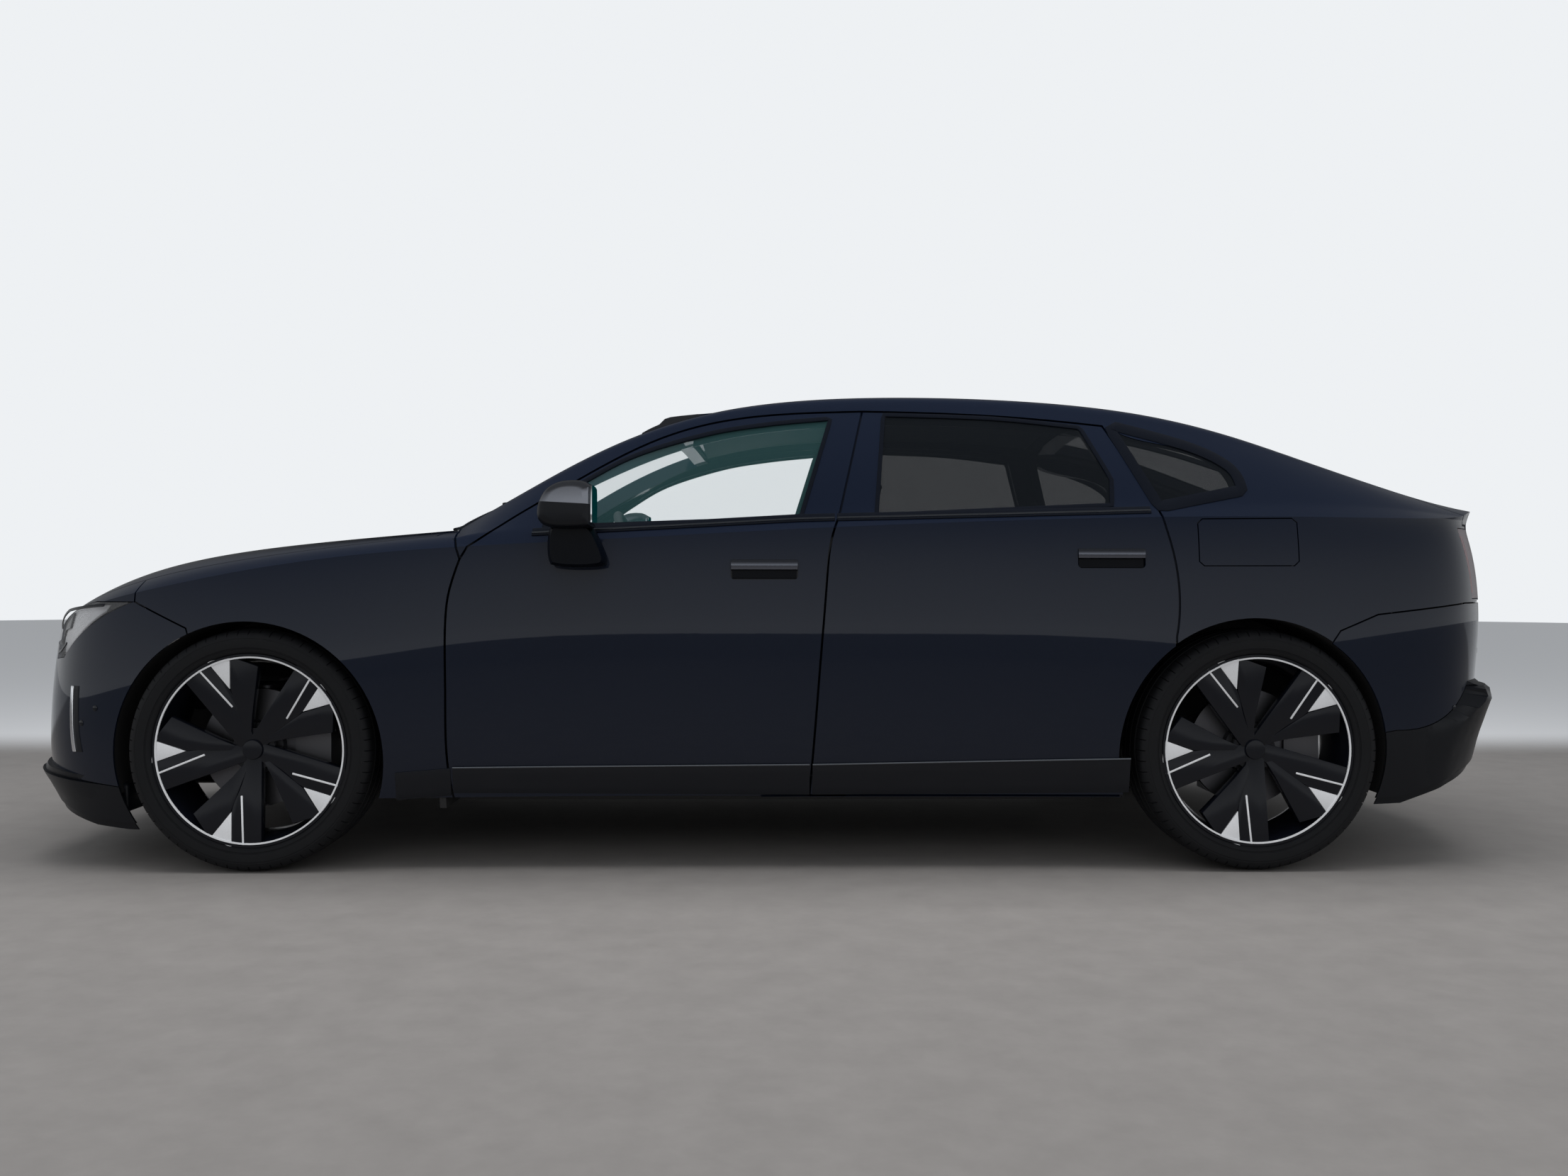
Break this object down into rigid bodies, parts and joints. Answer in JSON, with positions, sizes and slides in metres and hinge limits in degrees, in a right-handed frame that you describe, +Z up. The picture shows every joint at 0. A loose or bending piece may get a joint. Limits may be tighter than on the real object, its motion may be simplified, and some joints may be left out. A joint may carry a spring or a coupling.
{
  "type": "electric saloon car",
  "caption": "Five-door fastback electric saloon with opening doors, lids and charge flap, steered front wheels, hollow cabin with seats and a flat battery floor.",
  "frame": {"origin": "on the ground under the middle of the car's length and width", "axes": "+X to the rear, +Y to the car's right, +Z up"},
  "size_m": [4.9032, 2.1944, 1.5415],
  "materials": {
    "body_paint": "gloss",
    "black_trim": "satin",
    "clear_glass": "clear",
    "dark_glass": "tinted",
    "lamp_clear": "clear",
    "lamp_red": "gloss",
    "tyre": "matt",
    "wheel_paint": "gloss",
    "chassis_metal": "cast",
    "underbody_metal": "matt",
    "cabin_trim": "soft touch",
    "seat_cloth": "smooth"
  },
  "bodies": {
    "body": {"underbody": "underbody_metal", "battery_pack": "underbody_metal", "body_sides": "body_paint", "roof_panel": "body_paint", "windscreen": "clear_glass", "fenders": "body_paint", "front_bumper": "body_paint", "front_lip": "black_trim", "rear_bumper": "body_paint", "rear_valance": "black_trim", "headlamps": "lamp_clear", "tail_lamps": "lamp_red", "quarter_glass": "dark_glass", "front_seats": "seat_cloth", "rear_seat": "seat_cloth", "dashboard": "cabin_trim", "arch_liners": "black_trim", "front_subframe": "chassis_metal", "rear_subframe": "chassis_metal", "cowl_panel": "black_trim"},
    "front_left_door": {"front_left_door": "body_paint", "front_left_door_glass": "clear_glass", "left_mirror": "black_trim"},
    "front_right_door": {"front_right_door": "body_paint", "front_right_door_glass": "clear_glass", "right_mirror": "black_trim"},
    "rear_left_door": {"rear_left_door": "body_paint", "rear_left_door_glass": "dark_glass"},
    "rear_right_door": {"rear_right_door": "body_paint", "rear_right_door_glass": "dark_glass"},
    "hood": {"hood": "body_paint"},
    "tailgate": {"tailgate": "body_paint", "rear_glass": "dark_glass"},
    "charge_flap": {"charge_flap": "body_paint"},
    "left_knuckle": {"left_knuckle": "chassis_metal"},
    "right_knuckle": {"right_knuckle": "chassis_metal"},
    "front_left_wheel": {"front_left_tyre": "tyre", "front_left_rim": "wheel_paint"},
    "front_right_wheel": {"front_right_tyre": "tyre", "front_right_rim": "wheel_paint"},
    "rear_left_wheel": {"rear_left_tyre": "tyre", "rear_left_rim": "wheel_paint"},
    "rear_right_wheel": {"rear_right_tyre": "tyre", "rear_right_rim": "wheel_paint"},
    "steering_wheel": {"steering_wheel": "cabin_trim"}
  },
  "joints": [
    {"name": "front_left_door_hinge", "type": "hinge", "parent": "body", "child": "front_left_door", "pos_m": [-0.9515, -0.9375, 0.68], "axis": [0, 0, -1], "range_deg": [0, 65]},
    {"name": "front_right_door_hinge", "type": "hinge", "parent": "body", "child": "front_right_door", "pos_m": [-0.9515, 0.9375, 0.68], "axis": [0, 0, 1], "range_deg": [0, 65]},
    {"name": "rear_left_door_hinge", "type": "hinge", "parent": "body", "child": "rear_left_door", "pos_m": [0.1635, -0.9375, 0.68], "axis": [0, 0, -1], "range_deg": [0, 65]},
    {"name": "rear_right_door_hinge", "type": "hinge", "parent": "body", "child": "rear_right_door", "pos_m": [0.1635, 0.9375, 0.68], "axis": [0, 0, 1], "range_deg": [0, 65]},
    {"name": "hood_hinge", "type": "hinge", "parent": "body", "child": "hood", "pos_m": [-1.041, 0, 1.068], "axis": [0, 1, 0], "range_deg": [0, 50]},
    {"name": "tailgate_hinge", "type": "hinge", "parent": "body", "child": "tailgate", "pos_m": [1.0945, 0, 1.5068], "axis": [0, -1, 0], "range_deg": [0, 65]},
    {"name": "charge_flap_hinge", "type": "hinge", "parent": "body", "child": "charge_flap", "pos_m": [1.2895, -0.957, 1.02], "axis": [0, 0, -1], "range_deg": [0, 80]},
    {"name": "steer_left", "type": "hinge", "parent": "body", "child": "left_knuckle", "pos_m": [-1.6265, -0.792, 0.374], "axis": [0, 0, 1], "range_deg": [-33, 33]},
    {"name": "steer_right", "type": "hinge", "parent": "body", "child": "right_knuckle", "pos_m": [-1.6265, 0.792, 0.374], "axis": [0, 0, 1], "range_deg": [-33, 33]},
    {"name": "front_left_wheel_spin", "type": "hinge", "parent": "left_knuckle", "child": "front_left_wheel", "pos_m": [-1.6265, -0.826, 0.374], "axis": [0, 1, 0], "continuous": true},
    {"name": "front_right_wheel_spin", "type": "hinge", "parent": "right_knuckle", "child": "front_right_wheel", "pos_m": [-1.6265, 0.826, 0.374], "axis": [0, 1, 0], "continuous": true},
    {"name": "rear_left_wheel_spin", "type": "hinge", "parent": "body", "child": "rear_left_wheel", "pos_m": [1.4755, -0.826, 0.374], "axis": [0, 1, 0], "continuous": true},
    {"name": "rear_right_wheel_spin", "type": "hinge", "parent": "body", "child": "rear_right_wheel", "pos_m": [1.4755, 0.826, 0.374], "axis": [0, 1, 0], "continuous": true},
    {"name": "steering_wheel_turn", "type": "hinge", "parent": "body", "child": "steering_wheel", "pos_m": [-0.4865, -0.372, 0.9554], "axis": [0.916, 0, 0.4012], "range_deg": [-462, 462]}
  ],
  "couplings": [
    {"joint": "steer_right", "follows": "steer_left", "ratio": 1},
    {"joint": "steering_wheel_turn", "follows": "steer_left", "ratio": 14}
  ]
}
